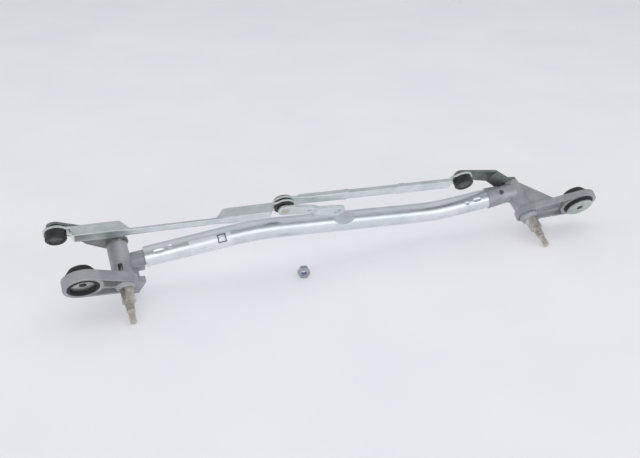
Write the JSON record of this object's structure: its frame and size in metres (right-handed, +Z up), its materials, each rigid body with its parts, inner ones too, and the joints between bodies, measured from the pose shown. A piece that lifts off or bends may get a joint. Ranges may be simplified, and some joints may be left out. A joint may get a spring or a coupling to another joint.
{
  "type": "windshield wiper linkage",
  "caption": "Windscreen wiper linkage: a bent tube between cast pivot housings, spindles with levers, link rods on ball joints, a motor crank and a loose arm nut.",
  "frame": {"origin": "centre of the bounding box in plan, on the floor that the set lies on", "axes": "+X from the left spindle towards the right one, +Z up, -Y the side the spindle tips point to, tilted below level"},
  "size_m": [0.7056, 0.0962, 0.1143],
  "materials": {
    "zinc": "bright zinc plate, satin",
    "link_zinc": "zinc plate over pressed steel, satin",
    "spindle_steel": "machined, satin",
    "lever_steel": "phosphated pressed steel",
    "die_cast": "as cast, matt",
    "sintered": "sintered bronze, matt",
    "black_rubber": "matt",
    "black_plastic": "satin",
    "label_white": "printed label, satin",
    "nylon": "satin"
  },
  "bodies": {
    "frame": {"frame_tube": "zinc", "tube_label": "label_white", "left_housing": "die_cast", "right_housing": "die_cast", "left_bearing_nose": "spindle_steel", "left_front_bush": "sintered", "left_back_bush": "sintered", "left_shaft_seal": "black_rubber", "left_grommet": "black_rubber", "left_grommet_sleeve": "zinc", "right_bearing_nose": "spindle_steel", "right_front_bush": "sintered", "right_back_bush": "sintered", "right_shaft_seal": "black_rubber", "right_grommet": "black_rubber", "right_grommet_sleeve": "zinc"},
    "left_spindle": {"left_pivot_shaft": "spindle_steel", "left_snap_ring": "spindle_steel", "left_thrust_washer": "spindle_steel", "left_back_washer": "spindle_steel", "left_lever": "lever_steel", "left_ball_stud": "spindle_steel"},
    "right_spindle": {"right_pivot_shaft": "spindle_steel", "right_snap_ring": "spindle_steel", "right_thrust_washer": "spindle_steel", "right_back_washer": "spindle_steel", "right_lever": "lever_steel", "right_ball_stud": "spindle_steel"},
    "left_link": {"left_link_bar": "link_zinc", "left_link_outer_socket": "black_plastic", "left_link_outer_boot": "black_rubber", "left_link_inner_socket": "black_plastic"},
    "right_link": {"right_link_bar": "link_zinc", "right_link_inner_socket": "black_plastic", "right_link_outer_socket": "black_plastic", "right_link_outer_boot": "black_rubber"},
    "crank": {"crank_arm": "link_zinc", "crank_ball_stud": "spindle_steel"},
    "nut": {"arm_nut": "zinc", "arm_nut_insert": "nylon"}
  },
  "joints": [
    {"name": "left_spindle_turn", "type": "hinge", "parent": "frame", "child": "left_spindle", "pos_m": [-0.27147, -0.04633, 0.0027], "axis": [0, -0.8192, -0.5736], "range_deg": [-75, 0]},
    {"name": "left_link_swing", "type": "hinge", "parent": "left_spindle", "child": "left_link", "pos_m": [-0.33947, 0.00447, 0.09979], "axis": [0, -0.8192, -0.5736], "range_deg": [-0.5, 78.2]},
    {"name": "crank_swing", "type": "hinge", "parent": "left_link", "child": "crank", "pos_m": [-0.07847, -0.00032, 0.09704], "axis": [0, -0.8192, -0.5736], "range_deg": [-96.95, 0.5]},
    {"name": "right_spindle_turn", "type": "hinge", "parent": "frame", "child": "right_spindle", "pos_m": [0.26253, -0.04636, 0.00274], "axis": [0.1564, -0.8091, -0.5665], "range_deg": [-67.92, 0.5]},
    {"name": "right_link_swing", "type": "hinge", "parent": "right_spindle", "child": "right_link", "pos_m": [0.15553, -0.00536, 0.09291], "axis": [0.1001, -0.8336, -0.5432], "range_deg": [-0.5, 70.78]},
    {"name": "nut_lift", "type": "slide", "parent": "frame", "child": "nut", "axis": [0, 0, 1], "range_m": [0, 0.04]}
  ],
  "couplings": [
    {"joint": "left_link_swing", "follows": "left_spindle_turn", "ratio": -1.036},
    {"joint": "crank_swing", "follows": "left_spindle_turn", "ratio": 1.286},
    {"joint": "right_spindle_turn", "follows": "left_spindle_turn", "ratio": 0.899},
    {"joint": "right_link_swing", "follows": "left_spindle_turn", "ratio": -0.937}
  ]
}
